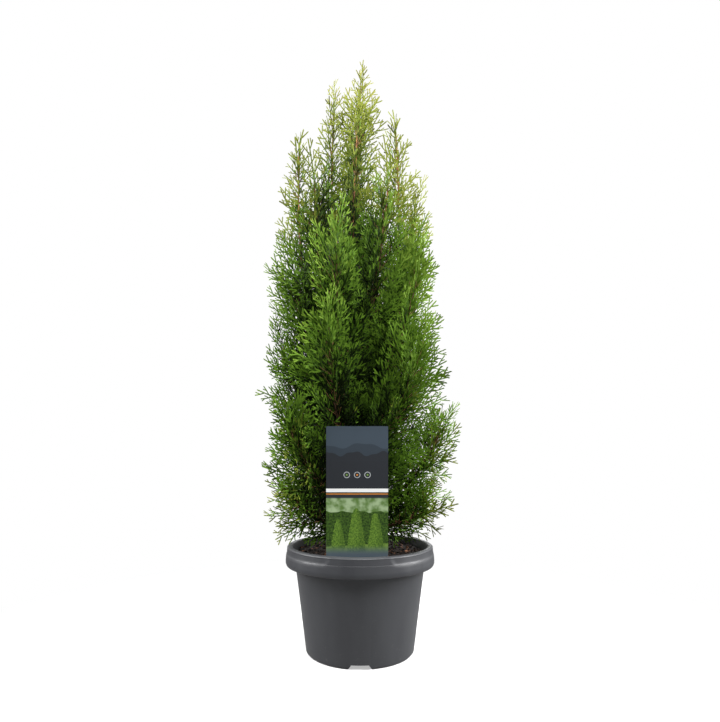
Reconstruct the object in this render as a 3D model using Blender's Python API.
"""Potted emerald thuja: a young, narrow evergreen in a grey plastic nursery pot, with its plant label.

Metres, +Z up. The origin is the centre of the pot's flat underside, on the surface it stands on; the
front, where the label stands, faces -Y. Every object is one closed solid and one named piece:
pot, potting_soil, plant_label, trunk, bough_*, and foliage_*, where each mass is a frond of sprays.
"""

import itertools
import math
import random

import bmesh
import bpy
from mathutils import Matrix, Vector
from mathutils.bvhtree import BVHTree
from mathutils.kdtree import KDTree

MM = 0.001
GAP = 0.3 * MM  # clearance between pieces that touch on the real plant
UP = Vector((0, 0, 1))

# ---------------------------------------------------------------- pot
POT_HEIGHT = 124.0 * MM
POT_SEGMENTS = 36
WALL = 1.6 * MM
FOOT_RADIUS = 61.3 * MM
FOOT_CHAMFER = 2.4 * MM
BODY_BASE_RADIUS = 63.0 * MM  # where the tapered wall would meet the ground
BODY_SLOPE = 0.1230  # radius gained for each metre of height
FLOOR_UNDERSIDE = 5.0 * MM
FLOOR_THICKNESS = 2.2 * MM
FOOT_RING_WIDTH = 2.6 * MM
HUB_RADIUS = 16.0 * MM
COLLAR_LIP_RADIUS = 86.8 * MM
COLLAR_BAND_RADIUS = 84.0 * MM
COLLAR_BOTTOM = 101.5 * MM
COLLAR_LEDGE = 114.5 * MM
RIM_INNER_RADIUS = 78.8 * MM
LABEL_PANEL_HALF_ANGLE = math.radians(22.5)  # the flush front of the collar, behind the label
NOTCHES = 3
NOTCH_WIDTH = 26 * MM
NOTCH_TOP_WIDTH = 19 * MM
DRAIN_HOLES = 6
DRAIN_HOLE_RADIUS = 5 * MM
DRAIN_CIRCLE_RADIUS = 40 * MM

# ---------------------------------------------------------------- soil and label
SOIL_TOP = 117.0 * MM
SOIL_LUMP = 2.2 * MM
LABEL_WIDTH = 65.6 * MM
LABEL_X = -3.0 * MM
LABEL_TOP = 260 * MM
LABEL_SHOULDER = 119.5 * MM
LABEL_POINT = 72 * MM
LABEL_THICKNESS = 0.8 * MM
LABEL_Y = -67 * MM
STAKE_WIDTH = 16 * MM
STAKE_POINT_WIDTH = 4 * MM

# ---------------------------------------------------------------- trunk
TRUNK_TIP = 585 * MM
TRUNK_SIDES = 8
TRUNK_FOOT_RADIUS = 7.0 * MM
TRUNK_TIP_RADIUS = 1.5 * MM
ROOT_FLARE = 3.4 * MM
ROOT_FLARE_HEIGHT = 14 * MM
TRUNK_SWAY = 9 * MM
TRUNK_TIP_LEAN = -2 * MM

# ---------------------------------------------------------------- boughs and foliage
CROWN_FLOOR = 129.5 * MM  # sprays hang no lower than this, just over the rim
TOP = 700 * MM
BOUGH_SIDES = 5
BOUGH_RADIUS = 2.2 * MM
STEM_RADIUS = 1.6 * MM
STEM_TIP_RADIUS = 0.8 * MM
BLADE_THICKNESS = 1.5 * MM
SPRAY_HALF_WIDTH = 0.27  # of the spray's length
GUARD = 1.0 * MM  # how far a spray keeps from everything that isn't its own mass

# A limb leaves the trunk at root, bends at its knee and rises to its tip. Azimuth is in degrees from
# +X, anticlockwise from above; heights and the tip's distance from the pot's axis are in millimetres.
# The bough carries it up to the share bough of its length, and its mass of foliage takes over there.
LEADERS = {
    "second_leader": dict(
        azimuth=166, root=232, tip=631, radius=33,
        knee=1.35, bough=0.55, spray=54, turn=-12, rungs=7
    ),
    "third_leader": dict(
        azimuth=262, root=262, tip=602, radius=22,
        knee=1.5, bough=0.52, spray=54, turn=75, rungs=7
    ),
    "right_leader": dict(
        azimuth=350, root=176, tip=598, radius=43,
        knee=1.3, bough=0.58, spray=54, turn=20, rungs=7
    ),
    "left_leader": dict(
        azimuth=184, root=160, tip=578, radius=72,
        knee=1.05, bough=0.58, spray=54, turn=-15, rungs=7
    ),
    "back_leader": dict(
        azimuth=104, root=198, tip=566, radius=46,
        knee=1.15, bough=0.56, spray=58, turn=40, rungs=7
    ),
}

# A tier is a whorl of masses round the trunk. climb is how much higher each next root stands, turn is
# how far a frond's plane is swung out of the upright plane through the trunk, by turns to each side,
# and a tier with no bough grows its stems straight from the trunk.
TIERS = {
    "shoulder": dict(
        count=5, azimuth=8, root=262, climb=7, tip=508, radius=64,
        knee=0.80, bough=0.36, spray=62, turn=42, rungs=7
    ),
    "upper": dict(
        count=5, azimuth=38, root=222, climb=6, tip=430, radius=79,
        knee=0.72, bough=0.34, spray=68, turn=38, rungs=7
    ),
    "middle": dict(
        count=5, azimuth=34, root=186, climb=5, tip=342, radius=90,
        knee=0.70, bough=0, spray=70, turn=36, rungs=7
    ),
    "lower": dict(
        count=5, azimuth=8, root=150, climb=4, tip=254, radius=97,
        knee=0.68, bough=0, spray=70, turn=34, rungs=7
    ),
    "skirt": dict(
        count=6, azimuth=30, root=125, climb=3, tip=172, radius=85,
        knee=0.60, bough=0, spray=62, turn=26, rungs=5
    ),
}
TIER_WOBBLE = 5 * MM


def clear_scene():
    for obj in list(bpy.data.objects):
        bpy.data.objects.remove(obj, do_unlink=True)


def material(name, color, roughness, metallic=0.0):
    """A plain Principled finish in the piece's own colour."""
    made = bpy.data.materials.new(name)
    made.use_nodes = True
    shader = made.node_tree.nodes["Principled BSDF"]
    shader.inputs["Base Color"].default_value = (*color, 1)
    shader.inputs["Roughness"].default_value = roughness
    shader.inputs["Metallic"].default_value = metallic
    made.diffuse_color = (*color, 1)
    return made


def object_from(name, bm, finish, smooth_deg=None):
    """The bmesh as a named object at the origin."""
    mesh = bpy.data.meshes.new(name)
    bm.to_mesh(mesh)
    bm.free()
    mesh.materials.append(finish)
    if smooth_deg is not None:
        mesh.shade_smooth()
        mesh.set_sharp_from_angle(angle=math.radians(smooth_deg))
    obj = bpy.data.objects.new(name, mesh)
    bpy.context.scene.collection.objects.link(obj)
    return obj


def boolean(obj, operation, operand=None, collection=None, solver="EXACT"):
    """Applies one Boolean to the object and removes the helpers it used."""
    modifier = obj.modifiers.new("boolean", "BOOLEAN")
    modifier.operation = operation
    modifier.solver = solver
    if collection is None:
        modifier.object = operand
        helpers = [operand]
    else:
        modifier.operand_type = "COLLECTION"
        modifier.collection = collection
        helpers = list(collection.objects)
    evaluated = obj.evaluated_get(bpy.context.evaluated_depsgraph_get())
    mesh = bpy.data.meshes.new_from_object(evaluated)
    obj.modifiers.remove(modifier)
    finish = obj.data.materials[0]
    obj.data = mesh
    mesh.materials.clear()
    mesh.materials.append(finish)
    mesh.polygons.foreach_set("material_index", [0] * len(mesh.polygons))
    for helper in helpers:
        bpy.data.objects.remove(helper, do_unlink=True)


# ================================================================ pot, soil and label
def spun(profile, segments):
    """A closed turned shape from (radius, height) points that start and end on the axis."""
    bm = bmesh.new()
    verts = [bm.verts.new((radius, 0, height)) for radius, height in profile]
    edges = [bm.edges.new(pair) for pair in zip(verts, verts[1:])]
    bmesh.ops.spin(
        bm, geom=verts + edges, cent=(0, 0, 0), axis=UP, angle=math.tau, steps=segments, use_merge=True
    )
    bmesh.ops.remove_doubles(bm, verts=bm.verts, dist=0.01 * MM)
    bmesh.ops.recalc_face_normals(bm, faces=bm.faces)
    return bm


def wall_radius(height):
    """The outer radius of the pot's tapered wall."""
    return BODY_BASE_RADIUS + BODY_SLOPE * height


def pot_profile():
    floor_top = FLOOR_UNDERSIDE + FLOOR_THICKNESS
    ring_inner = FOOT_RADIUS - FOOT_RING_WIDTH
    hollow_top = POT_HEIGHT - 4 * MM
    return [
        (0, floor_top),
        (wall_radius(floor_top) - WALL, floor_top),
        (wall_radius(COLLAR_BOTTOM) - WALL, COLLAR_BOTTOM),
        (RIM_INNER_RADIUS, POT_HEIGHT - 1.2 * MM),
        (RIM_INNER_RADIUS + 1.0 * MM, POT_HEIGHT),
        (COLLAR_BAND_RADIUS - 1.2 * MM, POT_HEIGHT),
        (COLLAR_BAND_RADIUS, POT_HEIGHT - 1.4 * MM),
        (COLLAR_BAND_RADIUS + 0.4 * MM, COLLAR_LEDGE + 1.5 * MM),
        (COLLAR_LIP_RADIUS - 0.4 * MM, COLLAR_LEDGE - 4.5 * MM),
        (COLLAR_LIP_RADIUS, COLLAR_BOTTOM),
        (COLLAR_LIP_RADIUS - 1.9 * MM, COLLAR_BOTTOM),
        (COLLAR_BAND_RADIUS - 2.0 * MM, COLLAR_LEDGE + 1.5 * MM),
        (RIM_INNER_RADIUS + 1.7 * MM, hollow_top),
        (wall_radius(COLLAR_BOTTOM), COLLAR_BOTTOM),
        (wall_radius(FOOT_CHAMFER), FOOT_CHAMFER),
        (FOOT_RADIUS, 0),
        (ring_inner, 0),
        (ring_inner, FLOOR_UNDERSIDE),
        (HUB_RADIUS + 1.0 * MM, FLOOR_UNDERSIDE),
        (HUB_RADIUS, 0),
        (0, 0),
    ]


def fill_label_panel(bm):
    """Brings the collar's upper band out to its lip over the front, behind the label."""
    for vert in bm.verts:
        radius = math.hypot(vert.co.x, vert.co.y)
        angle = math.atan2(vert.co.x, -vert.co.y)
        on_band = radius > COLLAR_BAND_RADIUS - 0.5 * MM and vert.co.z > COLLAR_LEDGE - 5 * MM
        if on_band and abs(angle) < LABEL_PANEL_HALF_ANGLE:
            out = (COLLAR_LIP_RADIUS - 0.4 * MM) / radius
            vert.co.x *= out
            vert.co.y *= out


def notch_cutter():
    """A wedge across the foot ring, wider at the ground, that lets water out under the pot."""
    bm = bmesh.new()
    bmesh.ops.create_cube(bm, size=1)
    depth = 12 * MM
    for vert in bm.verts:
        low = vert.co.z < 0
        vert.co.x *= NOTCH_WIDTH + 2 * MM if low else NOTCH_TOP_WIDTH
        vert.co.y = vert.co.y * depth - FOOT_RADIUS + 2 * MM
        vert.co.z = -1.5 * MM if low else FLOOR_UNDERSIDE + 0.4 * MM
    return bm


def make_pot(finish):
    bm = spun(pot_profile(), POT_SEGMENTS)
    fill_label_panel(bm)
    pot = object_from("pot", bm, finish, smooth_deg=35)
    cutters = bpy.data.collections.new("pot_cutters")
    bpy.context.scene.collection.children.link(cutters)

    def add_cutter(bm, turn):
        cutter = object_from("pot_cutter", bm, finish)
        bpy.context.scene.collection.objects.unlink(cutter)
        cutters.objects.link(cutter)
        cutter.data.transform(Matrix.Rotation(turn, 4, "Z"))
        cutter.hide_render = True

    for index in range(NOTCHES):
        add_cutter(notch_cutter(), math.tau * index / NOTCHES)
    for index in range(DRAIN_HOLES):
        bm = bmesh.new()
        bmesh.ops.create_cone(
            bm, cap_ends=True, segments=8, radius1=DRAIN_HOLE_RADIUS, radius2=DRAIN_HOLE_RADIUS,
            depth=4 * FLOOR_THICKNESS,
            matrix=Matrix.Translation((DRAIN_CIRCLE_RADIUS, 0, FLOOR_UNDERSIDE + FLOOR_THICKNESS / 2)),
        )
        add_cutter(bm, math.tau * (index + 0.5) / DRAIN_HOLES)
    boolean(pot, "DIFFERENCE", collection=cutters)
    bpy.data.collections.remove(cutters)
    return pot


def make_soil(finish):
    """The compost that fills the pot, lumpy on top and flat where the trunk stands."""
    inner = GAP + WALL
    floor_top = FLOOR_UNDERSIDE + FLOOR_THICKNESS + GAP
    edge_z = SOIL_TOP - 3 * MM
    rings = (12, 24, 38, 52, 63)
    profile = [(0, SOIL_TOP)]
    profile += [(ring * MM, SOIL_TOP) for ring in rings]
    profile += [(wall_radius(height) - inner, height) for height in (edge_z, floor_top)]
    profile.append((0, floor_top))
    bm = spun(profile, POT_SEGMENTS // 2)
    lumps = random.Random("soil lumps")
    for vert in bm.verts:
        radius = math.hypot(vert.co.x, vert.co.y)
        if rings[0] * MM + 1 * MM < radius < rings[-1] * MM + 1 * MM and vert.co.z > edge_z:
            vert.co.z += lumps.uniform(-SOIL_LUMP, SOIL_LUMP * 0.8)
    soil = object_from("potting_soil", bm, finish)
    boolean(soil, "DIFFERENCE", operand=object_from("slot", label_shape(grow=GAP), finish))
    return soil


def label_shape(grow=0.0):
    """The label's card and pointed stake as a thin plate, grown all round by the given clearance."""
    half, stake, point = LABEL_WIDTH / 2 + grow, STAKE_WIDTH / 2 + grow, STAKE_POINT_WIDTH / 2 + grow
    corner = 3 * MM
    right = [
        (point, LABEL_POINT - grow),
        (stake, LABEL_POINT + 16 * MM),
        (stake, LABEL_SHOULDER - 2 * MM),
        (half - corner, LABEL_SHOULDER - grow),
        (half, LABEL_SHOULDER + corner),
        (half, LABEL_TOP - corner),
        (half - corner, LABEL_TOP + grow),
    ]
    outline = right + [(-x, z) for x, z in reversed(right)]
    outline = [(LABEL_X + x, z) for x, z in outline]
    bm = bmesh.new()
    front = LABEL_Y - LABEL_THICKNESS / 2 - grow
    face = bm.faces.new([bm.verts.new((x, front, z)) for x, z in outline])
    pushed = bmesh.ops.extrude_face_region(bm, geom=[face])["geom"]
    verts = [item for item in pushed if isinstance(item, bmesh.types.BMVert)]
    bmesh.ops.translate(bm, verts=verts, vec=(0, LABEL_THICKNESS + 2 * grow, 0))
    bmesh.ops.recalc_face_normals(bm, faces=bm.faces)
    return bm


# ================================================================ limbs
def trunk_at(height):
    """The trunk's centre line: a slow sway to the left and back again."""
    share = (height - SOIL_TOP) / (TRUNK_TIP - SOIL_TOP)
    sway = TRUNK_SWAY * math.sin(math.pi * share)
    return Vector((TRUNK_TIP_LEAN * share - sway, 0.4 * TRUNK_SWAY * math.sin(math.tau * share), height))


def trunk_radius(height):
    share = (height - SOIL_TOP) / (TRUNK_TIP - SOIL_TOP)
    taper = TRUNK_TIP_RADIUS + (TRUNK_FOOT_RADIUS - TRUNK_TIP_RADIUS) * max(1 - share, 0) ** 0.9
    return taper + ROOT_FLARE * math.exp(-(height - SOIL_TOP) / ROOT_FLARE_HEIGHT)


def frame_along(tangent, normal_hint):
    """Two unit vectors across the tangent, the first as near the hint as it can be."""
    across = normal_hint - tangent * normal_hint.dot(tangent)
    if across.length < 1e-6:
        across = tangent.orthogonal()
    across.normalize()
    return across, tangent.cross(across)


def tube(points, radii, sides, foot=None):
    """A closed tapering limb: a prism cut into rings, each ring moved to its point on the limb's line.

    foot turns the first ring to face that way instead of along the line."""
    spans = len(points) - 1
    bm = bmesh.new()
    bmesh.ops.create_cone(
        bm, cap_ends=True, segments=sides, radius1=1, radius2=1, depth=spans,
        matrix=Matrix.Translation((0, 0, spans / 2)),
    )
    if spans > 1:
        rails = [edge for edge in bm.edges if abs(edge.verts[0].co.z - edge.verts[1].co.z) > 0.5]
        bmesh.ops.subdivide_edges(bm, edges=rails, cuts=spans - 1)
    hint = Vector((0, 1, 0))
    rings = []
    for index, (point, radius) in enumerate(zip(points, radii)):
        before, after = points[max(index - 1, 0)], points[min(index + 1, spans)]
        tangent = foot if foot and index == 0 else (after - before).normalized()
        across, other = frame_along(tangent, hint)
        hint = across
        rings.append((point, radius * across, radius * other))
    for vert in bm.verts:
        point, across, other = rings[round(vert.co.z)]
        vert.co = point + vert.co.x * across + vert.co.y * other
    bmesh.ops.recalc_face_normals(bm, faces=bm.faces)
    return bm


def trunk_shape(grow=0.0):
    heights = [SOIL_TOP + GAP - grow * 20]
    heights += [SOIL_TOP + rise * MM for rise in (6, 14, 26)]
    steps = 7
    rest = TRUNK_TIP - heights[-1]
    heights += [TRUNK_TIP - rest * (1 - k / steps) for k in range(1, steps + 1)]
    points = [trunk_at(height) for height in heights]
    radii = [trunk_radius(max(height, SOIL_TOP)) + grow for height in heights]
    points[-1] += UP * grow
    return tube(points, radii, TRUNK_SIDES, foot=UP)


def limb_point(limb, share):
    """A point on the limb's bending line, from its root in the trunk at 0 to its tip at 1."""
    a, b, c = limb["root_at"], limb["knee_at"], limb["tip_at"]
    return a * (1 - share) ** 2 + b * 2 * share * (1 - share) + c * share**2


def place_limb(name, azimuth, root, tip, radius, bough, spray, knee, turn, rungs):
    """Fixes the limb's root, knee and tip in space. Lengths come in millimetres, azimuth in degrees."""
    heading = Vector((math.cos(math.radians(azimuth)), math.sin(math.radians(azimuth)), 0))
    root_at = trunk_at(root * MM)
    tip_at = heading * radius * MM + UP * tip * MM
    out = (tip_at - root_at).xy.length * knee
    knee_at = root_at + heading * out + UP * (tip - root) * MM * 0.36
    limb = dict(
        name=name, heading=heading, root_at=root_at, knee_at=knee_at, tip_at=tip_at,
        bough=bough, spray=spray * MM, turn=turn, rungs=rungs,
    )
    limb["start"] = bough or clear_of_trunk(limb, STEM_RADIUS)
    return limb


def near_label(point):
    """True for a point close to the label's card, or in front of it."""
    inside = abs(point.x - LABEL_X) < LABEL_WIDTH / 2 + 5 * MM and point.z < LABEL_TOP + 5 * MM
    return inside and point.y < LABEL_Y + 7 * MM


def off_trunk(point):
    """How far a point is from the trunk's bark, less than nothing inside it."""
    return (point - trunk_at(point.z)).length - trunk_radius(point.z)


def clear_of_trunk(limb, radius):
    """The share of its length at which a limb of this radius is clear of the trunk."""
    share = 0
    while True:
        if off_trunk(limb_point(limb, share)) > radius * 1.05 + GAP:
            return share
        share += 0.004


def line_of(limb, steps):
    return [limb_point(limb, k / steps) for k in range(steps + 1)]


def settle(placed, name, sizes):
    """Places a limb where its line keeps clear of the limbs before it, turned a little if need be."""
    clearance = 2 * BOUGH_RADIUS + GUARD * 0.7
    others = [point for other in placed for point in other["line"]]
    nearest = KDTree(len(others))
    for index, point in enumerate(others):
        nearest.insert(point, index)
    nearest.balance()
    turns = [sign * 6 * step for step in range(9) for sign in (1, -1)]
    for turn, rise in itertools.product(turns, (0, 9, -9, 18, -18)):
        moved = {**sizes, "azimuth": sizes["azimuth"] + turn, "root": sizes["root"] + rise}
        limb = place_limb(name, **moved)
        line = [point for point in line_of(limb, 150) if off_trunk(point) > -BOUGH_RADIUS / 2]
        if all(nearest.find(point)[2] > clearance and not near_label(point) for point in line):
            break
    else:
        raise ValueError(f"no free place for {name}")
    limb["line"] = line
    return limb


def all_limbs():
    """Every limb that carries foliage: the trunk's own top, the leaders, then the tiers, top down."""
    top = dict(
        name="top", heading=Vector((0, 1, 0)), root_at=trunk_at(TRUNK_TIP),
        knee_at=trunk_at(TRUNK_TIP) + UP * 40 * MM, tip_at=Vector((0, 0, TOP - 40 * MM)),
        bough=None, start=0, spray=44 * MM, turn=0, rungs=4,
    )
    top["line"] = line_of(top, 30)
    limbs = [top]
    for name, sizes in LEADERS.items():
        limbs.append(settle(limbs, name, sizes))
    for tier, sizes in TIERS.items():
        wobble = random.Random(tier)
        for index in range(sizes["count"]):
            turned = dict(sizes)
            del turned["count"], turned["climb"]
            turned["azimuth"] += 360 * index / sizes["count"] + wobble.uniform(-5, 5)
            turned["root"] += sizes["climb"] * index
            turned["turn"] *= (-1) ** index
            turned["tip"] += wobble.uniform(-2, 2) * TIER_WOBBLE / MM
            turned["radius"] += wobble.uniform(-1, 1) * TIER_WOBBLE / MM
            toward_label = -math.sin(math.radians(turned["azimuth"]))
            if toward_label > 0.85 and turned["tip"] < LABEL_TOP / MM + 30:
                turned["radius"] = 46
            limbs.append(settle(limbs, f"{tier}_{index + 1}", turned))
    return limbs


def bough_shape(limb):
    """The bare lower part of a limb, from inside the trunk to the flat end that meets its mass."""
    steps = 5
    shares = [limb["bough"] * k / steps for k in range(steps + 1)]
    points = [limb_point(limb, share) for share in shares]
    radii = [BOUGH_RADIUS + (STEM_RADIUS - BOUGH_RADIUS) * k / steps for k in range(steps + 1)]
    return tube(points, radii, BOUGH_SIDES)


# ================================================================ foliage
def blade(root, along, across, length, teeth, lift):
    """A spray as one toothed blade: thick along its rib, thin at its edge, with fingers that lean forward.

    lift bends the tip along the blade's own normal."""
    normal = along.cross(across)
    half_width = SPRAY_HALF_WIDTH * length
    bm = bmesh.new()

    def vert(forward, sideways, up=0.0):
        rise = up + lift * forward**2
        return bm.verts.new(root + along * forward * length + across * sideways + normal * rise)

    foot = [vert(0, side * BLADE_THICKNESS / 2) for side in (-1, 1)]
    sides = ([foot[0]], [foot[1]])
    for tooth in range(teeth):
        share = (tooth + 0.5) / teeth
        reach = half_width * math.sin(math.pi * (0.24 + 0.6 * share))
        for side, edge in zip((-1, 1), sides):
            edge.append(vert(0.22 + 0.66 * share + 0.05 * side, side * reach))
            edge.append(vert(0.10 + 0.62 * (tooth + 1) / teeth + 0.05 * side, side * reach * 0.26))
    tip = vert(1, 0)
    for level in (-1, 1):
        ridge = [
            vert(0, 0, level * BLADE_THICKNESS / 2),
            vert(0.30, 0, level * BLADE_THICKNESS / 2),
            vert(0.66, 0, level * BLADE_THICKNESS / 2.5),
        ]
        cuts = (0, teeth, 2 * teeth)  # where along the edge each ridge point takes over
        for edge in sides:
            for spine, (first, last) in zip(ridge[1:], zip(cuts, cuts[1:])):
                for here, ahead in zip(edge[first:], edge[first + 1 : last + 1]):
                    bm.faces.new((here, ahead, spine))
            bm.faces.new((edge[0], ridge[0], ridge[1]))
            bm.faces.new((edge[teeth], ridge[1], ridge[2]))
            bm.faces.new((edge[-1], tip, ridge[2]))
        bm.faces.new((foot[0], foot[1], ridge[0]))
    bmesh.ops.remove_doubles(bm, verts=bm.verts, dist=0.001 * MM)
    bmesh.ops.recalc_face_normals(bm, faces=bm.faces)
    return bm


class Crown:
    """What is grown so far, so that each new twig or spray can be kept clear of the rest."""

    def __init__(self):
        self.grown = []  # (owner, lowest corner, highest corner, tree)

    def box(self, bm):
        corners = [vert.co for vert in bm.verts]
        low = Vector([min(corner[k] for corner in corners) for k in range(3)])
        return low, Vector([max(corner[k] for corner in corners) for k in range(3)])

    def add(self, owner, bm):
        self.grown.append((owner, *self.box(bm), BVHTree.FromBMesh(bm)))

    def is_free(self, owner, bm):
        """True if the shape meets nothing of another owner, and stays above the rim and off the label."""
        low, high = self.box(bm)
        if low.z < CROWN_FLOOR or high.z > TOP:
            return False
        in_front = low.y < LABEL_Y + 2 * MM and low.z < LABEL_TOP + 2 * MM
        reach = LABEL_WIDTH / 2 + 2 * MM
        if in_front and low.x - LABEL_X < reach and high.x - LABEL_X > -reach:
            return False
        tree = BVHTree.FromBMesh(bm)
        for other, other_low, other_high, other_tree in self.grown:
            if other == owner or any(low[k] > other_high[k] or high[k] < other_low[k] for k in range(3)):
                continue
            if tree.overlap(other_tree):
                return False
        return True


def stem_shape(limb):
    """The stem of a mass, from a gap past its bough, or past the trunk's side, to the limb's tip."""
    steps = 4
    start = limb["start"]
    points = [limb_point(limb, start + (1 - start) * k / steps) for k in range(steps + 1)]
    points[0] = points[0] + (points[1] - points[0]).normalized() * GAP
    radii = [STEM_RADIUS + (STEM_TIP_RADIUS - STEM_RADIUS) * k / steps for k in range(steps + 1)]
    foot = None if limb["bough"] or limb["name"] == "top" else limb["heading"]
    return tube(points, radii, 3, foot)


def sprays_of(limb, chance):
    """The mass's sprays as (root, direction, across, length, teeth) each. A mass is a flat frond: its sprays
    stand by turns on the two sides of the stem, in one upright plane, and one more ends the stem."""
    size, start = limb["spray"], limb["start"]
    tip = limb_point(limb, 1)
    lead = (tip - limb_point(limb, 0.95)).normalized()
    sideways = limb["heading"].cross(UP) if limb["name"] != "top" else Vector((0, 1, 0))
    plane = Matrix.Rotation(math.radians(limb["turn"] + chance.uniform(-12, 12)), 3, "Z") @ sideways
    made = [(tip - lead * 3 * MM, lead, lead.cross(plane).normalized(), size * 0.86, 3)]
    for rung in range(limb["rungs"]):
        share = start + (1 - start) * (0.10 + 0.80 * rung / limb["rungs"])
        tangent = (limb_point(limb, share + 0.02) - limb_point(limb, share - 0.02)).normalized()
        side = plane.cross(tangent).normalized() * (-1) ** rung
        lean = math.radians(52 - 14 * rung / limb["rungs"] + chance.uniform(-5, 5))
        direction = tangent * math.cos(lean) + side * math.sin(lean)
        direction = (direction + plane * chance.uniform(-0.25, 0.25)).normalized()
        across = direction.cross(plane).normalized()
        length = size * (1.08 - 0.3 * rung / limb["rungs"]) * chance.uniform(0.93, 1.05)
        made.append((limb_point(limb, share), direction, across, length, 3 if rung < 2 else 2))
    return made


def grow_sprays(crown, limb, sprays, chance):
    """Each spray that finds free space as a blade; a crowded one is turned or shortened, then skipped."""
    made = []
    for root, direction, across, length, teeth in sprays:
        for attempt in range(16):
            roll = chance.gauss(0, 8 + 2.5 * attempt)
            rolled = Matrix.Rotation(math.radians(roll), 3, direction) @ across
            size = length * (1 - 0.03 * attempt)
            lift = chance.uniform(-0.10, 0.10) * size
            guard = blade(root + direction * 3 * MM, direction, rolled, size + GUARD, teeth, lift)
            shape = blade(root, direction, rolled, size, teeth, lift)
            free = crown.is_free(limb["name"], guard) and crown.is_free(limb["name"], shape)
            guard.free()
            if free:
                crown.add(limb["name"] + " spray", shape)
                made.append(shape)
                break
            shape.free()
            bend = Vector((chance.uniform(-1, 1), chance.uniform(-1, 1), chance.uniform(-0.5, 0.8)))
            direction = (direction + 0.16 * bend).normalized()
            across = (across - direction * across.dot(direction)).normalized()
    return made


def keep_one_body(obj):
    """Keeps the mesh's largest closed shell, which drops loose scraps and fills sealed hollows."""
    bm = bmesh.new()
    bm.from_mesh(obj.data)
    bmesh.ops.triangulate(bm, faces=bm.faces)
    waiting = set(bm.faces)
    shells = []
    while waiting:
        start = waiting.pop()
        shell, front = {start}, [start]
        while front:
            for edge in front.pop().edges:
                for face in edge.link_faces:
                    if face in waiting:
                        waiting.remove(face)
                        shell.add(face)
                        front.append(face)
        shells.append(shell)
    largest = max(shells, key=lambda shell: sum(face.calc_area() for face in shell))
    bmesh.ops.delete(bm, geom=[face for face in bm.faces if face not in largest], context="FACES")
    bm.to_mesh(obj.data)
    bm.free()


def fuse_mass(limb, stem, sprays, finish):
    """Joins a stem and its sprays into one closed solid."""
    name = "foliage_" + limb["name"]
    mass = object_from(name, stem, finish)
    pieces = bpy.data.collections.new(name)
    bpy.context.scene.collection.children.link(pieces)
    for spray in sprays:
        piece = object_from(name + "_spray", spray, finish)
        bpy.context.scene.collection.objects.unlink(piece)
        pieces.objects.link(piece)
    boolean(mass, "UNION", collection=pieces, solver="MANIFOLD")
    bpy.data.collections.remove(pieces)
    keep_one_body(mass)


def main():
    clear_scene()
    plastic = material("pot_plastic", (0.055, 0.057, 0.060), 0.42)
    compost = material("compost", (0.030, 0.018, 0.011), 0.95)
    card = material("label_card", (0.035, 0.042, 0.050), 0.35)
    bark = material("bark", (0.28, 0.12, 0.055), 0.80)
    scales = material("scale_leaves", (0.085, 0.20, 0.022), 0.55)

    make_pot(plastic)
    make_soil(compost)
    object_from("plant_label", label_shape(), card)

    crown = Crown()
    trunk = trunk_shape()
    crown.add("trunk", trunk)
    object_from("trunk", trunk, bark, smooth_deg=50)
    trunk_cutter = trunk_shape(grow=GAP)

    limbs = all_limbs()
    for limb in limbs:
        if limb["bough"]:
            name = "bough_" + limb["name"]
            shape = bough_shape(limb)
            crown.add(name, shape)
            bough = object_from(name, shape, bark, smooth_deg=50)
            boolean(bough, "DIFFERENCE", operand=object_from("cutter", trunk_cutter.copy(), bark))

    for limb in limbs:
        limb["stem"] = stem_shape(limb)
        crown.add(limb["name"], limb["stem"])
    for limb in limbs:
        chance = random.Random(limb["name"])
        limb["sprays"] = grow_sprays(crown, limb, sprays_of(limb, chance), chance)
    for limb in limbs:
        fuse_mass(limb, limb["stem"], limb["sprays"], scales)
    trunk_cutter.free()


main()
